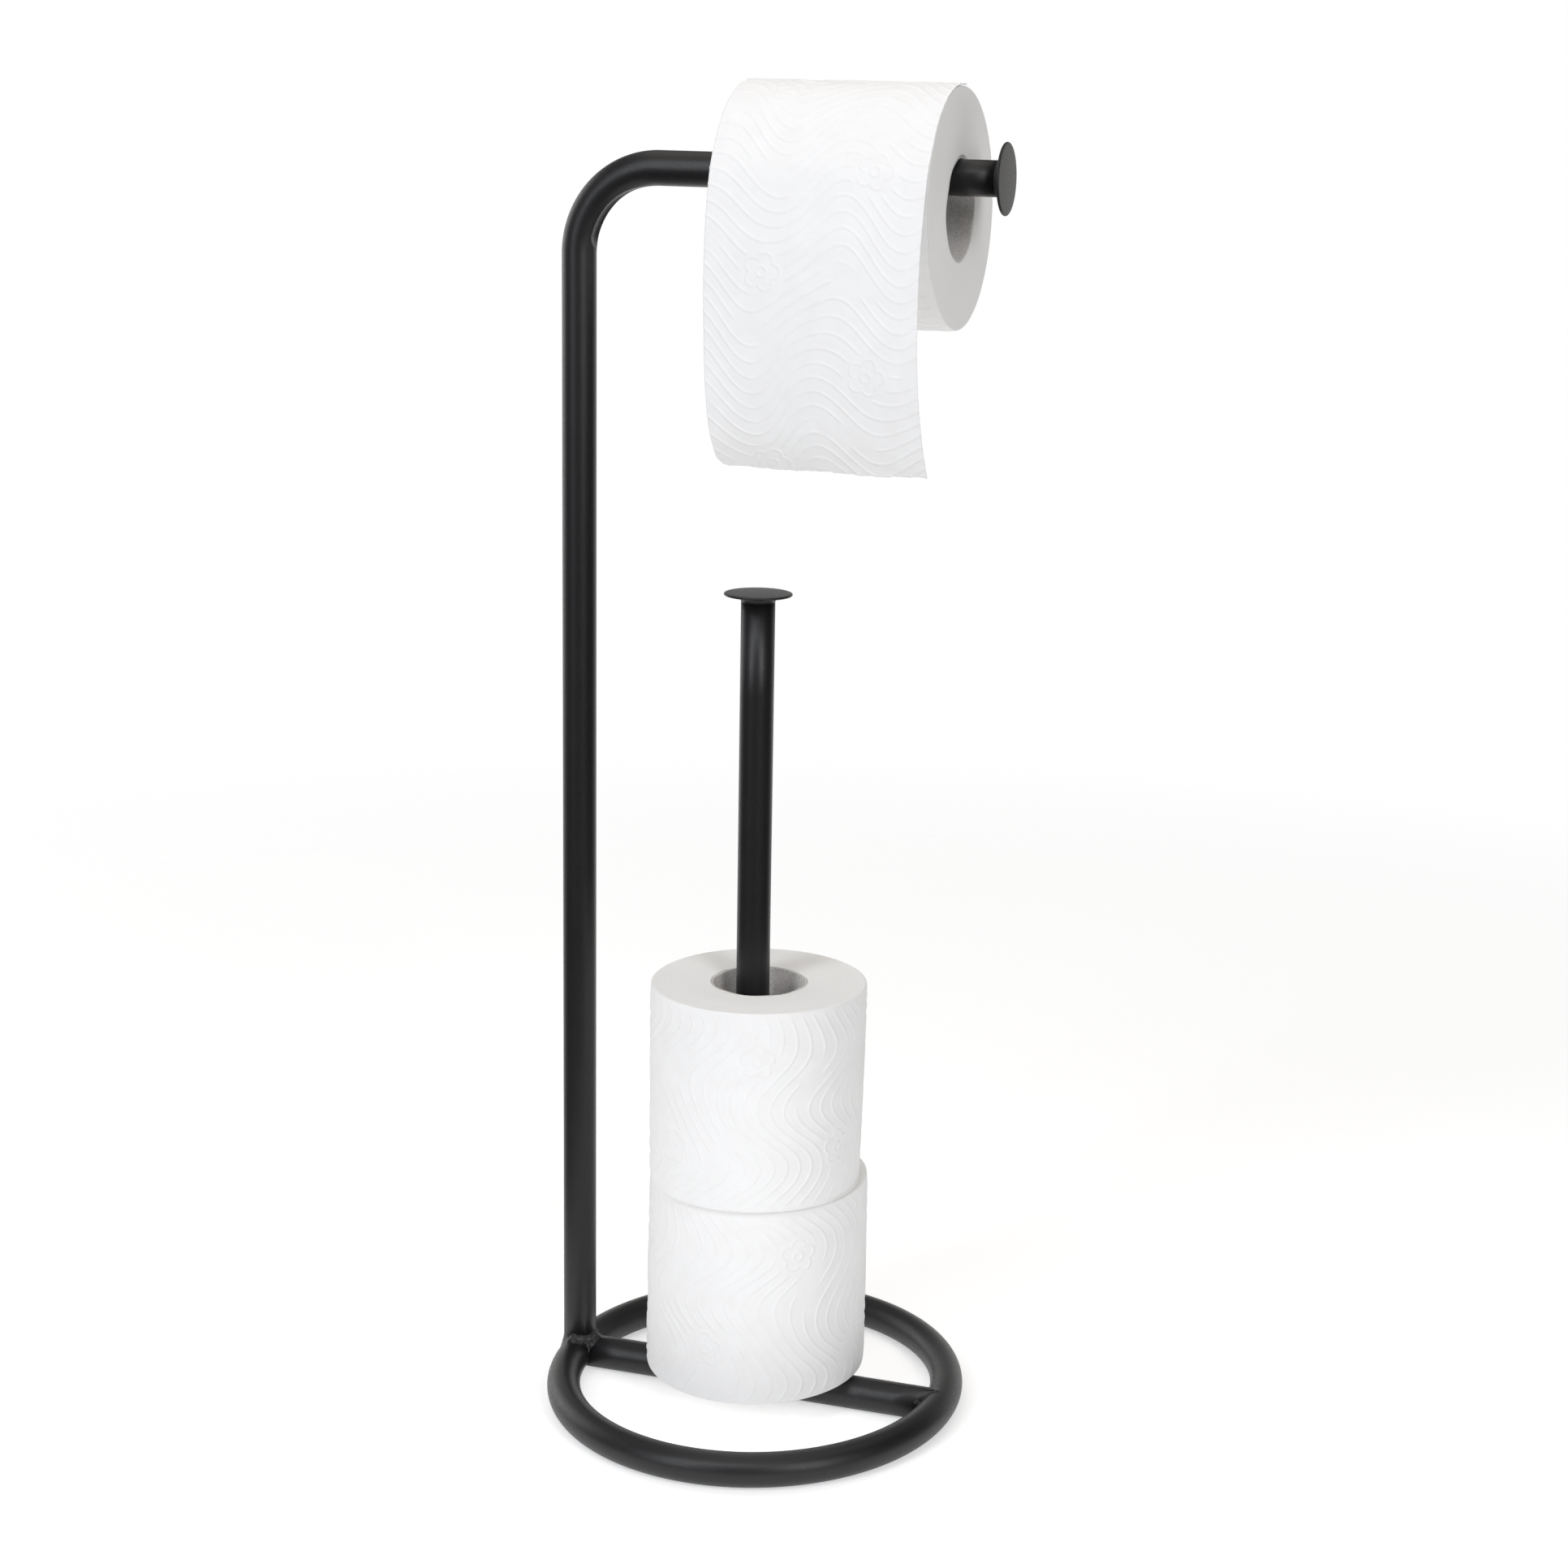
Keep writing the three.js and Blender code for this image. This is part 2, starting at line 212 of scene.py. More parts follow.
class Nodes:
    """A material with its node tree, and short ways to add and join nodes."""

    def __init__(self, name):
        self.material = bpy.data.materials.new(name)
        self.material.use_nodes = True
        self.tree = self.material.node_tree
        self.shader = self.tree.nodes["Principled BSDF"]
        self.place = self.add("ShaderNodeTexCoord").outputs["Object"]

    def add(self, kind, **settings):
        node = self.tree.nodes.new(kind)
        for key, value in settings.items():
            if key in node.inputs:
                node.inputs[key].default_value = value
            else:
                setattr(node, key, value)
        return node

    def join(self, output, target):
        self.tree.links.new(output, target)

    def noise(self, scale, detail, roughness=0.5):
        node = self.add("ShaderNodeTexNoise", Scale=scale, Detail=detail, Roughness=roughness)
        self.join(self.place, node.inputs["Vector"])
        return node.outputs["Fac"]

    def spread(self, value, low, high, start=0.3, end=0.7):
        node = self.add("ShaderNodeMapRange", **{
            "From Min": start, "From Max": end, "To Min": low, "To Max": high,
        })
        self.join(value, node.inputs["Value"])
        return node.outputs["Result"]

    def product(self, first, second):
        node = self.add("ShaderNodeMath", operation="MULTIPLY")
        self.join(first, node.inputs[0])
        self.join(second, node.inputs[1])
        return node.outputs["Value"]

    def mix_colours(self, share, first, second):
        node = self.add("ShaderNodeMix", data_type="RGBA")
        node.inputs[6].default_value = (*first, 1)
        node.inputs[7].default_value = (*second, 1)
        self.join(share, node.inputs[0])
        return node.outputs[2]

    def bump(self, height, strength, distance, under=None):
        node = self.add("ShaderNodeBump", Strength=strength, Distance=distance)
        self.join(height, node.inputs["Height"])
        if under:
            self.join(under, node.inputs["Normal"])
        return node.outputs["Normal"]


# Each pair is the two colours a material mixes.
COAT_TONES = (0.0065, 0.0063, 0.0075), (0.0085, 0.0082, 0.0092)
TISSUE_TONES = (0.905, 0.90, 0.895), (0.93, 0.928, 0.925)
# The cut edges' pair is set lighter than the tissue's: painted light on the ends and bores of the
# rolls.
EDGE_TONES_WITH_PAINTED_LIGHT = (0.93, 0.92, 0.9), (0.955, 0.95, 0.935)
BOARD_TONES = (0.46, 0.44, 0.425), (0.82, 0.80, 0.78)


def powder_coat(name, smoothest, roughest):
    """Satin black powder coat: a fine orange peel under a soft gloss that varies a little."""
    nodes = Nodes(name)
    shader = nodes.shader
    shader.inputs["Specular IOR Level"].default_value = 0.5
    mottle = nodes.spread(nodes.noise(60, 3), 0, 1)
    colour = nodes.mix_colours(mottle, *COAT_TONES)
    nodes.join(colour, shader.inputs["Base Color"])
    roughness = nodes.spread(nodes.noise(900, 2), smoothest, roughest)
    nodes.join(roughness, shader.inputs["Roughness"])
    peel = nodes.bump(nodes.noise(700, 2), 0.25, 0.05 * MM)
    grain = nodes.bump(nodes.noise(2600, 1), 0.3, 0.03 * MM, under=peel)
    nodes.join(grain, shader.inputs["Normal"])
    return nodes.material


def tissue():
    """Soft white tissue: crepe ridges and loose fibres in the surface, and faint cloudiness."""
    nodes = Nodes("tissue")
    shader = nodes.shader
    shader.inputs["Roughness"].default_value = 0.95
    shader.inputs["Specular IOR Level"].default_value = 0.2
    shader.inputs["Sheen Weight"].default_value = 0.08
    cloud = nodes.spread(nodes.noise(110, 4, 0.6), 0, 1)
    nodes.join(nodes.mix_colours(cloud, *TISSUE_TONES), shader.inputs["Base Color"])
    crepe = nodes.bump(nodes.noise(900, 3, 0.7), 0.35, 0.12 * MM)
    fibre = nodes.bump(nodes.noise(3000, 2, 0.7), 0.3, 0.05 * MM, under=crepe)
    nodes.join(fibre, shader.inputs["Normal"])
    return nodes.material


def roll_edge():
    """The cut ends of the wound layers: fine rings round the roll's axis, a little fluff, and
    painted light in a tone set lighter than the tissue's.
    """
    nodes = Nodes("tissue_cut_edges")
    shader = nodes.shader
    shader.inputs["Roughness"].default_value = 1.0
    shader.inputs["Specular IOR Level"].default_value = 0.1
    depth = nodes.add("ShaderNodeAttribute", attribute_name="layer").outputs["Fac"]
    rings = nodes.add("ShaderNodeTexNoise", Scale=1.0, Detail=2.0, noise_dimensions="1D")
    nodes.join(depth, rings.inputs["W"])
    fluff = nodes.noise(1500, 3, 0.7)
    shade = nodes.product(rings.outputs["Fac"], nodes.spread(fluff, 0.8, 1.2))
    colour = nodes.mix_colours(nodes.spread(shade, 0, 1), *EDGE_TONES_WITH_PAINTED_LIGHT)
    nodes.join(colour, shader.inputs["Base Color"])
    layers = nodes.bump(rings.outputs["Fac"], 0.3, 0.08 * MM)
    nodes.join(nodes.bump(fluff, 0.4, 0.1 * MM, under=layers), shader.inputs["Normal"])
    return nodes.material


def cardboard():
    """Grey recycled board with dark and light flecks."""
    nodes = Nodes("grey_cardboard")
    shader = nodes.shader
    shader.inputs["Roughness"].default_value = 0.9
    shader.inputs["Specular IOR Level"].default_value = 0.2
    flecks = nodes.spread(nodes.noise(1100, 3, 0.75), 0, 1, 0.25, 0.75)
    clouds = nodes.spread(nodes.noise(90, 3), 0.75, 1.1)
    colour = nodes.mix_colours(nodes.product(flecks, clouds), *BOARD_TONES)
    nodes.join(colour, shader.inputs["Base Color"])
    nodes.join(nodes.bump(nodes.noise(1600, 3), 0.4, 0.08 * MM), shader.inputs["Normal"])
    return nodes.material


BLACK = powder_coat("black_powder_coat", 0.37, 0.48)
MATT_BLACK = powder_coat("matt_black_powder_coat", 0.47, 0.53)
TISSUE = tissue()
EDGES = roll_edge()
BOARD = cardboard()


# ---- Steel frame ------------------------------------------------------------------------------

ROUND = np.linspace(0, FULL_TURN, TUBE_SIDES, endpoint=False)


def ring_crest(x, y):
    """Height of the upper surface of the base ring over a point, or its mid height beside it."""
    off = np.hypot(x, y) - RING
    return TUBE + np.sqrt(np.maximum(TUBE**2 - off**2, 0))


def bar_crest(y):
    """Height of the upper surface of the cross bar beside its centre-line."""
    return TUBE + np.sqrt(np.maximum(TUBE**2 - y**2, 0))


def add_base_ring():
    turns = 288
    out = RING + TUBE * np.cos(ROUND)
    height = TUBE + TUBE * np.sin(ROUND)
    sections = []
    for angle in np.linspace(0, FULL_TURN, turns, endpoint=False):
        sections.append(np.stack([out * math.cos(angle), out * math.sin(angle), height], axis=1))
    points = np.concatenate(sections)
    faces = grid_faces(turns, TUBE_SIDES, close_rows=True, close_columns=True)
    add_steel("base_ring_tube", points, faces, "base_ring")


def add_cross_bar():
    y, z = TUBE * np.cos(ROUND), TUBE + TUBE * np.sin(ROUND)
    reach = RING - np.sqrt(np.maximum(TUBE**2 - (z - TUBE) ** 2, 0))
    end = np.sqrt(reach**2 - y**2) + COPE_DEPTH
    sections = [np.stack([end * share, y, z], axis=1) for share in np.linspace(-1, 1, 13)]
    points, faces = capped_loft(sections)
    add_steel("cross_bar_tube", points, faces, "cross_bar")


BENT_SIDES = 144
BENT_ROUND = np.linspace(0, FULL_TURN, BENT_SIDES, endpoint=False)
PRESS = 1.0 * MM  # how far the former's edge flattens the inner side of the bend
DISH = 1.2 * MM  # how much deeper the middle of the flattened strip sinks
PRESS_REACH = 4.4 * MM  # half the width of the sunken strip
CREASE = 0.3 * MM  # softness of the strip's two edges
BEND_STEPS = 72
PRESS_FROM, PRESS_FULL = 3 * MM, 11 * MM  # where the strip sets in, along the bend's centre-line
PRESS_FADE = math.radians(42), math.radians(86)  # the part of the turn over which it ends


def bend_section(flattened):
    """Outline of the tube in a bend: outward and sideways distances, its inner side pressed in."""
    outward, sideways = TUBE * np.cos(BENT_ROUND), TUBE * np.sin(BENT_ROUND)
    hollow = np.maximum(1 - (sideways / PRESS_REACH) ** 2, 0)
    flat = -TUBE + flattened * (PRESS + DISH * hollow)
    gap = np.abs(outward - flat)
    blend = np.maximum(CREASE - gap, 0) ** 2 / (4 * CREASE) * flattened
    inner = outward < 0
    return np.where(inner, np.maximum(outward, flat) + blend, outward), sideways


def upright_foot():
    """The upright's lower edge, cut to the shape of the ring and the bar it stands on."""
    x, y = TUBE * np.cos(BENT_ROUND), TUBE * np.sin(BENT_ROUND)
    crest = np.maximum(ring_crest(UPRIGHT_X + x, y), np.where(x > 0, bar_crest(y), 0))
    foot = np.stack([UPRIGHT_X + x, y, crest - COPE_DEPTH], axis=1)
    # Sections turn from outward = -X on the upright to outward = +Z on the arm.
    order = np.argsort(np.mod(np.arctan2(y, -x), FULL_TURN), kind="stable")
    return foot[order]


def bend_sections():
    """Sections round the bend. The pressed strip sets in low down and fades out near the arm."""
    middle_x, middle_z = UPRIGHT_X + BEND, ARM_Z - BEND
    sections = []
    for angle in np.linspace(0, math.pi / 2, BEND_STEPS):
        pressed = smooth_step(middle_z + BEND * angle, middle_z + PRESS_FROM, middle_z + PRESS_FULL)
        fade = 1 - smooth_step(angle, *PRESS_FADE)
        outward, sideways = bend_section(pressed * fade)
        reach = BEND + outward
        sections.append(np.stack([
            middle_x - reach * math.cos(angle), sideways, middle_z + reach * math.sin(angle),
        ], axis=1))
    return sections


def add_upright_and_arm():
    outward, sideways = bend_section(0)
    sections = [upright_foot()]
    near_bend = np.linspace(0.53, ARM_Z - BEND, 24, endpoint=False)
    for z in [0.03, 0.1, 0.2, 0.3, 0.4, 0.5, *near_bend]:
        level = np.full(BENT_SIDES, z)
        sections.append(np.stack([UPRIGHT_X - outward, sideways, level], axis=1))
    sections += bend_sections()
    for x in [-0.04, -0.01, 0.04, 0.09, ARM_END_X]:
        along = np.full(BENT_SIDES, x)
        sections.append(np.stack([along, sideways, ARM_Z + outward], axis=1))
    points, faces = capped_loft(sections)
    add_steel("upright_and_arm_tube", points, faces, "upright_arm_tube")


def add_post():
    x, y = TUBE * np.cos(ROUND), TUBE * np.sin(ROUND)
    sections = [np.stack([POST_X + x, y, bar_crest(y) - COPE_DEPTH], axis=1)]
    for z in np.linspace(0.03, POST_END_Z, 9):
        sections.append(np.stack([POST_X + x, y, np.full(TUBE_SIDES, z)], axis=1))
    points, faces = capped_loft(sections)
    add_steel("post_tube", points, faces, "storage_post")


# ---- End discs --------------------------------------------------------------------------------

DISC_RIM = 0.55 * MM  # radius of the rounded rim
DISC_DOME = 0.35 * MM  # how far the middle of the face stands proud of its rim
NECK_TOP = -1.9 * MM  # where the fillet meets the back of the disc, below the face
NECK_WIDTH = 3.0 * MM
NECK_HEIGHT = 3.2 * MM
NECK_SINK = 0.4 * MM  # how far the fillet reaches into the disc
DISC_SEGMENTS = 96


def disc_profile(radius, thickness):
    """Slightly domed face, rounded rim and a back that rises to the tube. The face is at 0."""
    flat = radius - DISC_RIM
    profile = [(r, -DISC_DOME * (r / radius) ** 2) for r in np.linspace(0, flat, 12)]
    for angle in np.linspace(80, -80, 9):
        out, up = math.cos(math.radians(angle)), math.sin(math.radians(angle))
        profile.append((flat + DISC_RIM * out, -DISC_DOME - DISC_RIM + DISC_RIM * up))
    edge = DISC_DOME + 2 * DISC_RIM
    for share in np.linspace(0, 1, 8):
        profile.append((flat + (TUBE - flat) * share, -edge + (edge - thickness) * share**1.4))
    profile.append((0, -thickness))
    return profile


def neck_profile():
    """A concave fillet from the back of a disc down to the tube."""
    top, foot = NECK_TOP + NECK_SINK, NECK_TOP - NECK_HEIGHT
    profile = [(0, top), (TUBE + NECK_WIDTH * 0.9, top)]
    for turn in np.linspace(0, math.pi / 2, 12):
        profile.append((
            TUBE - 0.05 * MM + NECK_WIDTH * (1 - math.sin(turn)),
            NECK_TOP - NECK_HEIGHT * (1 - math.cos(turn)),
        ))
    profile += [(TUBE - 0.5 * MM, foot), (0, foot)]
    return profile


def add_disc(label, place):
    low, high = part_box(label)
    thickness, _, width = sorted(high - low)
    points, faces = lathe(disc_profile(width / 2, thickness), DISC_SEGMENTS, place)
    add_steel(label + "_face", points, faces, label, coat=MATT_BLACK)
    points, faces = lathe(neck_profile(), DISC_SEGMENTS, place)
    add_steel(label + "_neck", points, faces, label + "_weld")


def add_discs():
    arm_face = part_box("arm_end_disc")[1].x
    sideways = Matrix.Rotation(math.pi / 2, 4, "Y")
    add_disc("arm_end_disc", Matrix.Translation((arm_face, 0, ARM_Z)) @ sideways)
    post_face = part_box("post_top_disc")[1].z
    add_disc("post_top_disc", Matrix.Translation((POST_X, 0, post_face)))


# ---- Welds ------------------------------------------------------------------------------------

WELD_CELL = 0.42 * MM
WELD_MARGIN = 5 * MM  # how far the mesh of a weld may reach past its CAD node
WELD_SKIN = 0.05 * MM  # how far a weld is kept under the surface it blends into
WELD_ROOT = 1.4 * MM  # how far a weld reaches into the tubes
DROP_REACH = 1.1 * MM
FOOT_REACH = 4.6 * MM
POST_REACH = 5 * MM
BAR_REACH = 1.0 * MM
NO_REACH = 0.02 * MM
# Drops of weld metal: (x, y, z, radius) in millimetres. In front of the upright's foot the weld
# ends in a few, as hand welding leaves it.
FOOT_DROPS = (
    (-95.8, -9.3, 15.3, 1.7), (-93.7, -9.4, 15.8, 1.4), (-94.6, -8.6, 17.2, 1.2),
    (-87.6, -8.8, 15.8, 1.1), (-86.4, -8.9, 14.2, 1.2), (-85.7, -9.2, 12.6, 0.8),
    (-84.9, -6.4, 16.6, 0.8), (-83.2, -5.2, 17.1, 0.6),
)
BAR_DROPS = ((85.2, -6.8, 12.0, 1.0),)


def ring_distance(x, y, z):
    return np.hypot(np.hypot(x, y) - RING, z - TUBE) - TUBE


def bar_distance(x, y, z):
    return np.maximum(np.hypot(y, z - TUBE) - TUBE, np.abs(x) - RING)


def standing_distance(axis_x, foot_z):
    """Distance to an upright tube that starts at a height."""
    def distance(x, y, z):
        return np.maximum(np.hypot(x - axis_x, y) - TUBE, foot_z - z)
    return distance


def soft_union(first, second, reach):
    """Distance to two solids together, with a fillet of a given reach between them."""
    share = np.maximum(reach - np.abs(first - second), 0) / reach
    return np.minimum(first, second) - share * share * reach / 4


def weld_field(tubes, reaches, drops, ripple):
    """The fillet where tubes meet, kept to what stands proud of them and a little way inside.

    Each reach is the size of the fillet between the next tube and the ones before it.
    """
    def field(x, y, z):
        distances = [tube(x, y, z) for tube in tubes]
        bare = np.minimum.reduce(distances)
        joined = distances[0]
        for other, reach in zip(distances[1:], reaches):
            joined = soft_union(joined, other, reach)
        fillet = smooth_step(bare - joined, 0.1 * MM, 1.0 * MM)
        wave = np.sin(x * 2100 + z * 900) * np.sin(y * 2300 + 1) * np.sin(z * 2000 + 2)
        joined = joined - fillet * ripple * wave
        for cx, cy, cz, radius in drops:
            drop = np.sqrt((x - cx * MM) ** 2 + (y - cy * MM) ** 2 + (z - cz * MM) ** 2)
            joined = soft_union(joined, drop - radius * MM, DROP_REACH)
        return np.maximum.reduce([
            joined + WELD_SKIN, -(bare + WELD_ROOT), joined - bare + WELD_SKIN / 3,
        ])
    return field


def add_weld(name, node, field):
    low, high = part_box(node)
    margin = Vector((WELD_MARGIN, WELD_MARGIN, WELD_MARGIN))
    low, high = low - margin, high + margin
    low.z = max(low.z, 0.2 * MM)
    points, faces = surface_net(field, low, high, WELD_CELL)
    add_steel(name, points, faces, node)


def add_welds():
    upright = standing_distance(UPRIGHT_X, 1.7 * TUBE)
    post = standing_distance(POST_X, TUBE)
    foot = [ring_distance, bar_distance, upright], [NO_REACH, FOOT_REACH]
    add_weld(
        "upright_foot_fillet", "upright_foot_weld", weld_field(*foot, FOOT_DROPS, 0.25 * MM)
    )
    bar_end = [ring_distance, bar_distance], [BAR_REACH]
    add_weld(
        "cross_bar_end_fillet", "cross_bar_weld", weld_field(*bar_end, BAR_DROPS, 0.1 * MM)
    )
    add_weld(
        "post_foot_fillet", "post_foot_weld",
        weld_field([bar_distance, post], [POST_REACH], (), 0.3 * MM),
    )


# ---- Paper ------------------------------------------------------------------------------------

LINE_GAP = 6.9 * MM
BLOSSOM_STEP = 88 * MM  # along the paper
BLOSSOM_HUBS = ((27 * MM, 30 * MM), (75 * MM, 74 * MM))  # across and along the paper
LINE_WIDTH = 0.45 * MM
EMBOSS_DEPTH = 0.40 * MM
# Waves in the lines: height, length across the paper, drift along it, start.
SWELL = 10.5 * MM, 64 * MM, 550 * MM, 0.7
RIPPLE = 1.8 * MM, 39 * MM, -160 * MM, 1.3
# Where the product of these two is high, the lines fade.
SHORT_FADE = 1, 83 * MM, -47 * MM, 0
LONG_FADE = 1, 210 * MM, 130 * MM, 0
PETAL_NOTCH = 5.4 * MM  # from a blossom's hub to the notches between its petals
PETAL_LENGTH = 2.9 * MM  # how far the petals reach past the notches
HEART = 2.2 * MM
CLEAR_FROM, CLEAR_TO = 9.5 * MM, 12 * MM  # where the lines come back round a blossom


def blossom(across, along, hub_across, hub_along):
    """Outline of a plain five-petalled blossom, and the clear space round it."""
    aside, ahead = across - hub_across, along - hub_along
    out, turn = np.hypot(aside, ahead), np.arctan2(ahead, aside)
    petals = PETAL_NOTCH + PETAL_LENGTH * np.abs(np.cos(2.5 * turn)) ** 0.8
    line = np.exp(-(((out - petals) / LINE_WIDTH) ** 2))
    heart = np.exp(-(((out - HEART) / LINE_WIDTH) ** 2))
    return np.maximum(line, heart), 1 - smooth_step(out, CLEAR_FROM, CLEAR_TO)


def wave(across, along, height, length, drift, start):
    """A wave along the sheet's width that drifts down its length, and its slope."""
    phase = FULL_TURN * (across / length + along / drift) + start
    return height * np.sin(phase), height * FULL_TURN / length * np.cos(phase)


def embossing(across, along):
    """Height of the pattern in the tissue: waving lines that part round sparse blossoms."""
    swell, swell_slope = wave(across, along, *SWELL)
    ripple, ripple_slope = wave(across, along, *RIPPLE)
    level = (along + swell + ripple) / LINE_GAP
    steepness = np.hypot(1, swell_slope + ripple_slope)
    off = (level - np.round(level)) * LINE_GAP / steepness
    lines = np.exp(-((off / LINE_WIDTH) ** 2))
    short_wave = wave(across, along, *SHORT_FADE)[0]
    long_wave = wave(across, along, *LONG_FADE)[0]
    lines = lines * (1 - smooth_step(short_wave * long_wave, 0.6, 0.85))
    pattern, clear = np.zeros_like(across), np.zeros_like(across)
    for k in range(-1, 6):
        for hub_across, hub_along in BLOSSOM_HUBS:
            line, space = blossom(across, along, hub_across, k * BLOSSOM_STEP + hub_along)
            pattern, clear = np.maximum(pattern, line), np.maximum(clear, space)
    return EMBOSS_DEPTH * np.maximum(lines * (1 - clear), pattern)


LEAN_TURN = math.radians(20)  # the way an uneven roll leans, round its axis
AROUND = 640  # points round a winding
ALONG = 180  # rows of points over its outer side
LAYER = 0.45 * MM  # the step where the outermost layer ends
LIP = 0.3 * MM  # softness of the winding's inner edge
RINGS = 34  # spread of the layer pattern from bore to outside
BORE_GAP = 0.05 * MM  # between a winding and its core
EDGE_FADE = 5 * MM  # how far from a roll's ends the embossing reaches full height
CUT_DIP = 0.35 * MM  # how far the cut faces are set back
CORE_AROUND = 144
CORE_WALL = 1.2 * MM
CORE_EDGE = 0.3 * MM
CORE_INSET = 0.35 * MM


def roll_frame(node, axis):
    """Radius and width of a roll's CAD node, and where its Z axis and foot go."""
    low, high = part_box(node)
    middle = (low + high) / 2
    if axis == "X":
        place = Matrix.Translation((low.x, middle.y, middle.z))
        return (high.z - low.z) / 2, high.x - low.x, place @ Matrix.Rotation(math.pi / 2, 4, "Y")
    place = Matrix.Translation((middle.x, middle.y, low.z))
    return (high.y - low.y) / 2, high.z - low.z, place


def placed(points, place):
    """The points moved from a roll's own axes to the frame's."""
    return points @ np.array(place.to_3x3()).T + np.array(place.translation)


def winding_rows(radius, bore, width, rim):
    """(radius, height, share of embossing) from the bore's foot, out, up and back in."""
    radial = np.linspace(bore + 3 * LIP, radius - rim, 14)
    bend = np.linspace(0, math.pi / 2, 7)[1:-1]
    rows = [(bore, LIP, 0), (bore + LIP, 0, 0)]
    rows += [(r, 0, 0) for r in radial]
    rows += [(radius - rim + rim * math.sin(b), rim - rim * math.cos(b), 0) for b in bend]
    rows += [(radius, h, 1) for h in np.linspace(rim, width - rim, ALONG)]
    rows += [
        (radius - rim + rim * math.cos(b), width - rim + rim * math.sin(b), 0) for b in bend
    ]
    rows += [(r, width, 0) for r in radial[::-1]]
    rows += [(bore + LIP, width, 0), (bore, width - LIP, 0)]
    return np.array(rows)


def roll_surface(radius, bore, width, rim, ends, tail_angle, seed):
    """Points of a wound roll on the Z axis, 0 to width, and how deep each lies in the layers.

    The ends are how much wider the roll is at its foot and at its head, and how far it leans.
    """
    rng = np.random.default_rng(seed)
    phase = rng.uniform(0, FULL_TURN, 8)
    angle = np.linspace(0, FULL_TURN, AROUND, endpoint=False)
    wound = np.mod(angle - tail_angle, FULL_TURN)
    rows = winding_rows(radius, bore, width, rim)
    r, h, skin = (np.repeat(rows[:, i][:, None], AROUND, axis=1) for i in range(3))
    turn = np.repeat(angle[None, :], len(rows), axis=0)
    relief = embossing(h, radius * np.repeat(wound[None, :], len(rows), axis=0))
    outside = smooth_step(r, radius - rim, radius)
    layer_step = LAYER * (wound / FULL_TURN - 1)
    sag = 0.35 * MM * np.sin(2 * turn + phase[0]) + 0.22 * MM * np.sin(3 * turn + phase[1])
    barrel = -0.2 * rim * (2 * h / width - 1) ** 4
    edge_fade = smooth_step(h, 0, EDGE_FADE) * (1 - smooth_step(h, width - EDGE_FADE, width))
    r = r + outside * (layer_step[None, :] + sag * 0.6 + barrel) + relief * skin * edge_fade
    foot_end, head_end = (wider + lean * np.cos(turn - LEAN_TURN) for wider, lean in ends)
    r = r + outside * (foot_end + (head_end - foot_end) * h / width - EMBOSS_DEPTH / 2)
    # The two cut faces are a little uneven, layer against layer.
    depth = (r - bore) / (radius - bore)
    top = smooth_step(h, width - rim, width)
    foot = 1 - smooth_step(h, 0, rim)
    uneven = 0.18 * MM * np.sin(9 * depth + phase[2])
    uneven = uneven + 0.08 * MM * np.sin(31 * depth + phase[3] + turn)
    uneven = uneven + 0.25 * MM * np.sin(2 * turn + phase[4] + 3 * depth)
    h = h + (top * (-CUT_DIP + uneven * 0.6) + foot * (CUT_DIP + uneven * 0.6))
    points = np.stack([r * np.cos(turn), r * np.sin(turn), h], axis=-1)
    return points, rows, depth


def add_winding(name, node, body, axis, rim, ends, tail_angle, seed):
    """The wound paper of a roll, with the colour of cut edges, lightened as painted light, on its
    two ends and in its bore.
    """
    radius, width, place = roll_frame(node, axis)
    bore = roll_frame(node.replace("_paper", "_core"), axis)[0]
    points, rows, depth = roll_surface(
        radius, bore + BORE_GAP, width, rim, ends, tail_angle, seed
    )
    points = placed(points.reshape(-1, 3), place)
    faces = grid_faces(len(rows), AROUND, close_rows=True, close_columns=True)
    obj = add_piece(name, points, faces, [TISSUE, EDGES], body, node)
    cut = (rows[:, 0] <= radius - rim / 2).astype(np.int32)
    obj.data.polygons.foreach_set("material_index", np.repeat(cut, AROUND))
    layer = obj.data.attributes.new("layer", "FLOAT", "POINT")
    layer.data.foreach_set("value", (depth * RINGS).astype(np.float32).ravel())


def add_core(name, node, body, axis, seed):
    """A tube of board with slightly ragged ends, worn to a soft edge."""
    rng = np.random.default_rng(seed)
    phase = rng.uniform(0, FULL_TURN, 4)
    outer, width, place = roll_frame(node, axis)
    inner = outer - CORE_WALL
    angle = np.linspace(0, FULL_TURN, CORE_AROUND, endpoint=False)
    ragged = 0.3 * MM * np.sin(5 * angle + phase[0]) * np.sin(2 * angle + phase[1])
    dent = 0.25 * MM * np.sin(2 * angle + phase[2])
    foot, middle, head = 0.6 * MM + ragged, 0 * angle, -0.6 * MM + ragged
    sections = []
    for r, h, lift in (
        (inner, CORE_INSET, foot), (inner + CORE_EDGE, 0, foot),
        (outer - CORE_EDGE, 0, foot), (outer, CORE_INSET, foot),
        (outer, width * 0.33, middle), (outer, width * 0.66, middle),
        (outer, width - CORE_INSET, head), (outer - CORE_EDGE, width, head),
        (inner + CORE_EDGE, width, head), (inner, width - CORE_INSET, head),
        (inner, width * 0.66, middle), (inner, width * 0.33, middle),
    ):
        out = r + dent
        sections.append(np.stack([out * np.cos(angle), out * np.sin(angle), h + lift], axis=1))
    points = placed(np.concatenate(sections), place)
    faces = grid_faces(len(sections), CORE_AROUND, close_rows=True, close_columns=True)
    add_piece(name, points, faces, [BOARD], body, node)


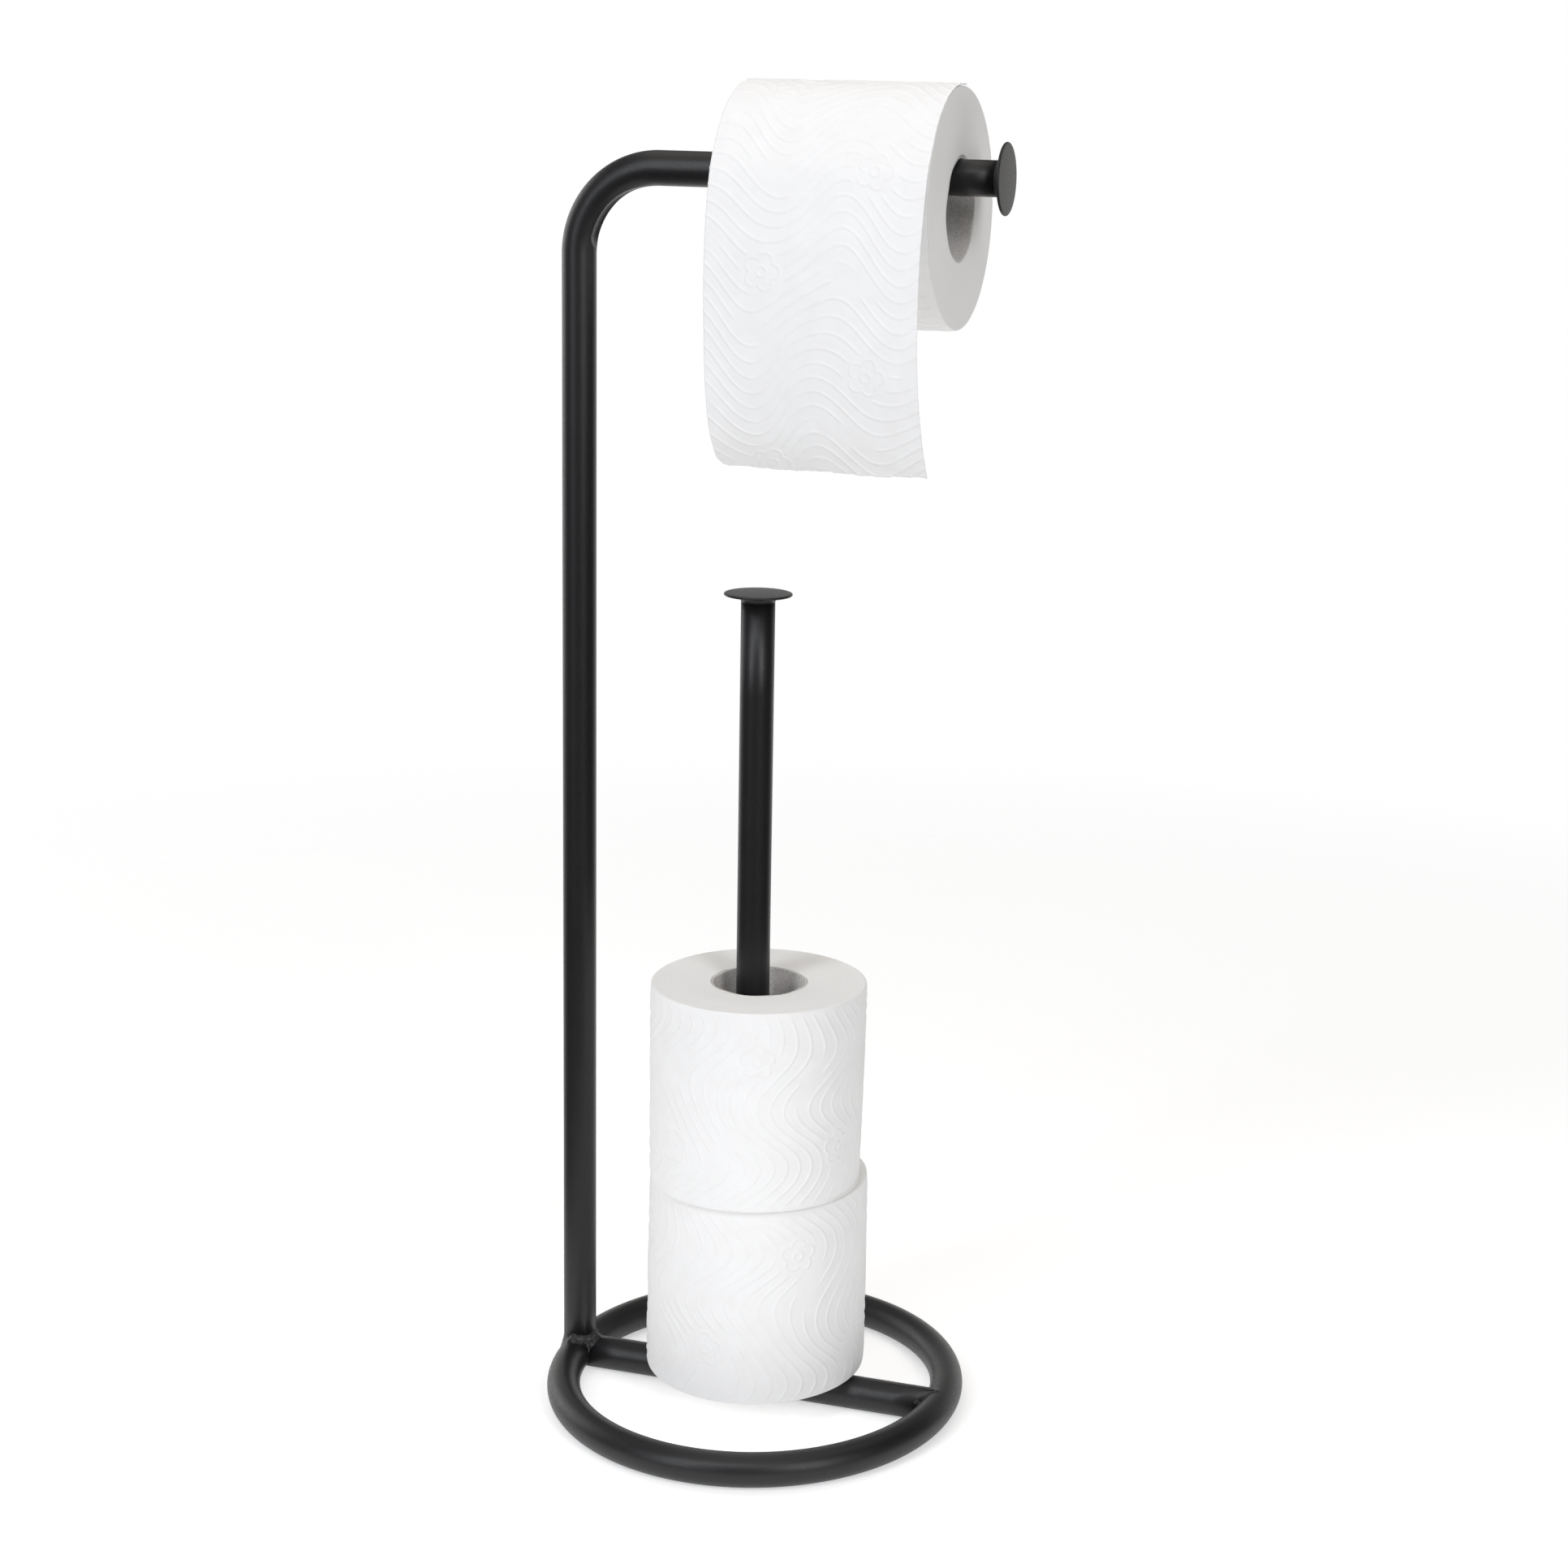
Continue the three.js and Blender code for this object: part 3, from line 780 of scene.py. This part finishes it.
def catmull(knots, samples):
    """Evenly spread points on a smooth line through the knots."""
    knots = np.asarray(knots, float)
    padded = np.vstack([2 * knots[0] - knots[1], knots, 2 * knots[-1] - knots[-2]])
    line = []
    for i in range(len(knots) - 1):
        a, b, c, d = padded[i : i + 4]
        for t in np.linspace(0, 1, 24, endpoint=False):
            line.append(0.5 * (
                2 * b + (c - a) * t + (2 * a - 5 * b + 4 * c - d) * t**2
                + (3 * b - a - 3 * c + d) * t**3
            ))
    line.append(knots[-1])
    line = np.array(line)
    run = np.concatenate([[0], np.cumsum(np.linalg.norm(np.diff(line, axis=0), axis=1))])
    even = np.linspace(0, run[-1], samples)
    spread = [np.interp(even, run, line[:, k]) for k in range(line.shape[1])]
    return np.stack(spread, axis=1), run[-1]


SHEET_THICK = 0.3 * MM
SHEET_ROWS, SHEET_COLUMNS = 400, 190
SHEET_INSET = 0.2 * MM  # how far each edge of the sheet stays inside the roll's end
SHEET_LIFT = 0.55 * MM  # from the roll's radius to the middle of the sheet's thickness
WRAP_FROM, WRAP_TO = math.radians(86), math.radians(150)  # the part of the roll it lies on
CORNER_ROUND = 3.2 * MM
TEAR_FROM = 0.97  # share of the sheet's length where its torn edge sets in
# Where the sheet hangs free, its right edge stands a little further out than its left one.
# Both are lines of (y, z) in millimetres.
LEFT_FALL = (
    (-53.4, 594.5), (-57.2, 577), (-59.4, 558), (-59.6, 538), (-58.6, 518), (-56.6, 499),
    (-51.8, 482), (-44.5, 471.0), (-37.6, 464.6),
)
RIGHT_FALL = (
    (-53.8, 594.5), (-58.8, 577), (-62.6, 558), (-63.6, 538), (-63.2, 520), (-59.6, 502),
    (-54.6, 488), (-49.0, 476.0), (-42.2, 465.2),
)


def sheet_edge(wrap, fall):
    return catmull(wrap + [(y * MM, z * MM) for y, z in fall], SHEET_ROWS)


def torn_edge(share, across):
    """Height of the torn edge over a straight one: a ragged line with its left corner rounded."""
    ragged = 0.3 * MM * np.sin(FULL_TURN * share * 2.3 + 0.4) + 0.12 * MM * np.sin(share * 61)
    inset = np.clip(1 - across / CORNER_ROUND, 0, 1)
    return ragged + CORNER_ROUND * (1 - np.sqrt(1 - inset**2))


def sheet_surface(left_x, right_x, centre_z, radius):
    """Points in the middle of the sheet's thickness, embossed, their normals and its length."""
    lie = radius + SHEET_LIFT
    turns = np.linspace(WRAP_FROM, WRAP_TO, 7)
    wrap = [(lie * math.cos(a), centre_z + lie * math.sin(a)) for a in turns]
    left, length = sheet_edge(wrap, LEFT_FALL)
    right = sheet_edge(wrap, RIGHT_FALL)[0]
    share = np.linspace(0, 1, SHEET_COLUMNS)[None, :]
    down = np.linspace(0, 1, SHEET_ROWS)[:, None]
    x = left_x + (right_x - left_x) * share + 0 * down
    y = left[:, :1] * (1 - share) + right[:, :1] * share
    z = left[:, 1:] * (1 - share) + right[:, 1:] * share
    free = smooth_step(down, 0.45, 1)
    y = y + free * (1.5 * MM * np.sin(FULL_TURN * share * 0.9 + 0.6) * down)
    across = x - left_x
    z = z + smooth_step(down, TEAR_FROM, 1) * torn_edge(share, across)
    base = np.stack([x, y, z], axis=-1)
    normal = np.cross(np.gradient(base, axis=0), np.gradient(base, axis=1))
    normal /= np.linalg.norm(normal, axis=-1, keepdims=True)
    relief = embossing(across, down * length + 0 * across)
    return base + normal * (relief - EMBOSS_DEPTH / 2)[..., None], normal, length


def sheet_faces():
    """Faces of the sheet's front and back, and of the narrow strip that joins them."""
    rows, columns = SHEET_ROWS, SHEET_COLUMNS
    size = rows * columns
    faces = grid_faces(rows, columns)
    faces += [tuple(i + size for i in face[::-1]) for face in grid_faces(rows, columns)]
    border = [(i, 0) for i in range(rows - 1)] + [(rows - 1, j) for j in range(columns - 1)]
    border += [(i, columns - 1) for i in range(rows - 1, 0, -1)]
    border += [(0, j) for j in range(columns - 1, 0, -1)]
    number = [i * columns + j for i, j in border]
    for a, b in zip(number, number[1:] + number[:1]):
        faces.append((a, b, b + size, a + size))
    return faces


def add_sheet():
    """The free end of the roll in use: over its top, down the front and curled under."""
    low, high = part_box("hanging_roll_paper")
    left_x, right_x = low.x + SHEET_INSET, high.x - SHEET_INSET
    middle, normal, length = sheet_surface(
        left_x, right_x, (low.z + high.z) / 2, (high.z - low.z) / 2
    )
    front = middle + normal * SHEET_THICK / 2
    back = middle - normal * SHEET_THICK / 2
    points = np.concatenate([front.reshape(-1, 3), back.reshape(-1, 3)])
    obj = add_piece(
        "loose_sheet", points, sheet_faces(), [TISSUE], "hanging_sheet",
        "hanging_sheet",
    )


# ---- Build ------------------------------------------------------------------------------------

# Each roll: its name, the way its axis points, the radius of its outer edges, how much wider it
# is and how far it leans at its foot and at its head, where its outermost layer ends in degrees,
# and its seed.
ROLLS = (
    ("hanging_roll", "X", 0.9 * MM, ((0, 0), (0, 0)), 200, 3),
    ("lower_spare", "Z", 1.0 * MM, ((1.5 * MM, 0), (0.7 * MM, 0.6 * MM)), 40, 7),
    ("upper_spare", "Z", 1.0 * MM, ((-0.8 * MM, -0.9 * MM), (0.2 * MM, 0)), 110, 11),
)

add_base_ring()
add_cross_bar()
add_upright_and_arm()
add_post()
add_discs()
add_welds()
for roll, axis, rim, ends, tail, seed in ROLLS:
    body = roll if axis == "X" else roll + "_roll"
    add_winding(
        roll + "_winding", roll + "_paper", body, axis, rim, ends, math.radians(tail), seed
    )
    add_core(roll + "_tube", roll + "_core", body, axis, seed + 2)
add_sheet()


# ---- Floor and light --------------------------------------------------------------------------

FLOOR_LIT = 0.26  # radius of the floor that may show in the gloss of the tubes
FLOOR_RIM = 1.5
FLOOR_FADE = 0.35, 1.4  # from where to where the floor melts away
FLOOR_SPOKES = 96
FLOOR_DROP = 0.1 * MM  # how far the floor lies under the stand


def floor_material():
    """Pale floor that melts into the backdrop towards its rim."""
    nodes = Nodes("floor")
    settings = (
        ("Base Color", (0.8, 0.8, 0.8, 1)), ("Roughness", 0.9), ("Specular IOR Level", 0.0),
        ("Emission Color", (1, 1, 1, 1)), ("Emission Strength", 0.5),
    )
    for key, value in settings:
        nodes.shader.inputs[key].default_value = value
    far = nodes.add("ShaderNodeVectorMath", operation="LENGTH")
    nodes.join(nodes.place, far.inputs[0])
    fading = nodes.spread(far.outputs["Value"], 1, 0, *FLOOR_FADE)
    nodes.join(fading, nodes.shader.inputs["Alpha"])
    return nodes.material


def add_floor_ring(name, material, inner, outer, rings):
    """A flat ring of floor just under the object, with its faces up."""
    angle = np.linspace(0, FULL_TURN, FLOOR_SPOKES, endpoint=False)
    points = []
    for r in np.linspace(inner, outer, rings):
        points += [(r * math.cos(a), r * math.sin(a), 0) for a in angle]
    faces = [face[::-1] for face in grid_faces(rings, FLOOR_SPOKES, close_columns=True)]
    mesh = bpy.data.meshes.new(name)
    mesh.from_pydata(points, [], faces)
    mesh.materials.append(material)
    floor = bpy.data.objects.new(name, mesh)
    bpy.context.scene.collection.objects.link(floor)
    floor.location.z = -FLOOR_DROP
    return floor


def add_floor():
    """Only the floor close to the stand is bright enough to show in the gloss of its tubes."""
    material = floor_material()
    add_floor_ring("floor_near", material, 0.5 * MM, FLOOR_LIT, 8)
    far = add_floor_ring("floor_far", material, FLOOR_LIT, FLOOR_RIM, 24)
    far.visible_glossy = False


LIGHTS_AIM = Vector((0, 0, 0.33))
# Each softbox: name, place, width, height, power in watts, colour.
SOFTBOXES = (
    ("key_left", (-0.72, -1.75, 1.25), 0.55, 1.7, 16.5, (0.93, 0.955, 1)),
    ("key_right", (1.45, -1.3, 1.2), 0.55, 1.5, 17, (0.97, 0.98, 1)),
    ("side_left", (-1.9, 0.3, 0.8), 1.3, 1.4, 8, (1, 1, 1)),
    ("fill_high", (0.1, -1.5, 2.1), 1.3, 0.5, 9.5, (0.97, 0.98, 1)),
    ("overhead", (0, 0.1, 2.1), 2.0, 2.0, 13, (1, 0.94, 0.88)),
)


def add_softbox(name, place, width, height, power, colour):
    """A rectangular light that looks at the middle of the stand and stays out of the picture."""
    data = bpy.data.lights.new(name, "AREA")
    data.shape = "RECTANGLE"
    data.size = width
    data.size_y = height
    data.energy = power
    data.color = colour
    light = bpy.data.objects.new(name, data)
    bpy.context.scene.collection.objects.link(light)
    light.visible_camera = False
    light.location = place
    aim = LIGHTS_AIM - Vector(place)
    light.rotation_euler = aim.to_track_quat("-Z", "Y").to_euler()


BACKDROP_WAY = (-0.375, 0.927, 0)  # level direction from the stand to the backdrop
# Ramps of the room's light: from, to, value at the start, value at the end.
BACKDROP_RAMP = 0.3, 0.65, 0.1, 1.25  # over how squarely a direction faces the backdrop
HEIGHT_RAMP = 0.15, 0.6, 1.0, 0.12  # over how steeply it points up
ROOM_COLOUR = (1, 0.985, 0.965)


class WorldNodes:
    """The node tree of the studio's surroundings."""

    def __init__(self, name):
        world = bpy.data.worlds.new(name)
        bpy.context.scene.world = world
        world.use_nodes = True
        self.tree = world.node_tree
        self.output = self.tree.nodes["World Output"].inputs["Surface"]

    def add(self, kind, *sources, **settings):
        node = self.tree.nodes.new(kind)
        for key, value in settings.items():
            setattr(node, key, value)
        for source, target in zip(sources, node.inputs):
            self.tree.links.new(source, target)
        return node

    def ramp(self, value, start, end, low, high):
        node = self.add("ShaderNodeMapRange", value, interpolation_type="SMOOTHSTEP")
        limits = {"From Min": start, "From Max": end, "To Min": low, "To Max": high}
        for key, number in limits.items():
            node.inputs[key].default_value = number
        return node.outputs["Result"]

    def background(self, colour, strength):
        node = self.add("ShaderNodeBackground")
        node.inputs["Color"].default_value = (*colour, 1)
        if isinstance(strength, float):
            node.inputs["Strength"].default_value = strength
        else:
            self.tree.links.new(strength, node.inputs["Strength"])
        return node.outputs[0]


def add_world():
    """White to the camera, and to all else a dim room with a white backdrop behind the stand."""
    nodes = WorldNodes("studio")
    towards = nodes.add("ShaderNodeTexCoord").outputs["Generated"]
    facing = nodes.add("ShaderNodeVectorMath", towards, operation="DOT_PRODUCT")
    facing.inputs[1].default_value = BACKDROP_WAY
    height = nodes.add("ShaderNodeSeparateXYZ", towards).outputs["Z"]
    backdrop = nodes.ramp(facing.outputs["Value"], *BACKDROP_RAMP)
    below_top = nodes.ramp(height, *HEIGHT_RAMP)
    strength = nodes.add("ShaderNodeMath", backdrop, below_top, operation="MULTIPLY")
    room = nodes.background(ROOM_COLOUR, strength.outputs["Value"])
    white = nodes.background((1, 1, 1), 1.0)
    seen = nodes.add("ShaderNodeLightPath").outputs["Is Camera Ray"]
    mix = nodes.add("ShaderNodeMixShader", seen, room, white)
    nodes.tree.links.new(mix.outputs[0], nodes.output)


add_floor()
for softbox in SOFTBOXES:
    add_softbox(*softbox)
add_world()
bpy.context.scene.view_settings.view_transform = "Standard"
